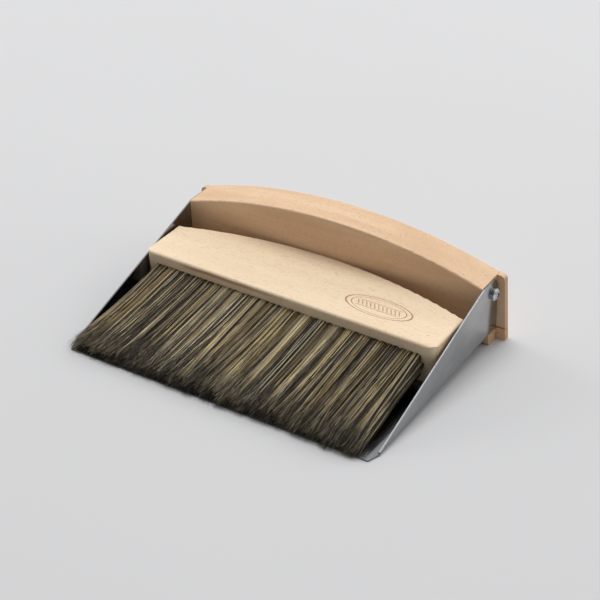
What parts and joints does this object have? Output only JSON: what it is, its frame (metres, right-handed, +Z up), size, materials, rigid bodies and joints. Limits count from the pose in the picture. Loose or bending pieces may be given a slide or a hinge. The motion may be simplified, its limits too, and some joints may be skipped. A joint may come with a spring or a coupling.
{
  "type": "dust pan and brush set",
  "caption": "Folded steel dust pan with a raised wooden handle block, and a wooden hand brush with natural bristles lying in it.",
  "frame": {"origin": "on the ground, under the middle of the whole set's bounding box", "axes": "+X to the right across the pan, +Y from the pan's lip back to its handle, +Z up; the pan stands on its lip and on the handle's foot"},
  "size_m": [0.2432, 0.1696, 0.067],
  "materials": {
    "sheet_steel": "fine brushed, bare cut edges",
    "handle_wood": "sanded, oiled",
    "screw_steel": "bright",
    "brush_wood": "sanded, untreated",
    "magnet_plating": "nickel plated",
    "bristle_light": "natural fibre, straw, grey and dark mixed",
    "bristle_mid": "natural fibre, grey and brown mixed",
    "bristle_dark": "natural fibre, mostly dark",
    "anchor_wire": "flat drawn wire"
  },
  "bodies": {
    "pan": {"pan_tray": "sheet_steel", "pan_handle": "handle_wood", "handle_screw_right": "screw_steel", "handle_screw_left": "screw_steel"},
    "brush": {"brush_block": "brush_wood", "brush_magnets": "magnet_plating", "tuft_row_upper": "bristle_light", "tuft_row_middle": "bristle_mid", "tuft_row_lower": "bristle_dark", "tuft_anchors": "anchor_wire"}
  },
  "joints": [
    {"name": "brush_lift", "type": "slide", "parent": "pan", "child": "brush", "axis": [0, -0.0523, 0.9986], "range_m": [0, 0.08]}
  ]
}
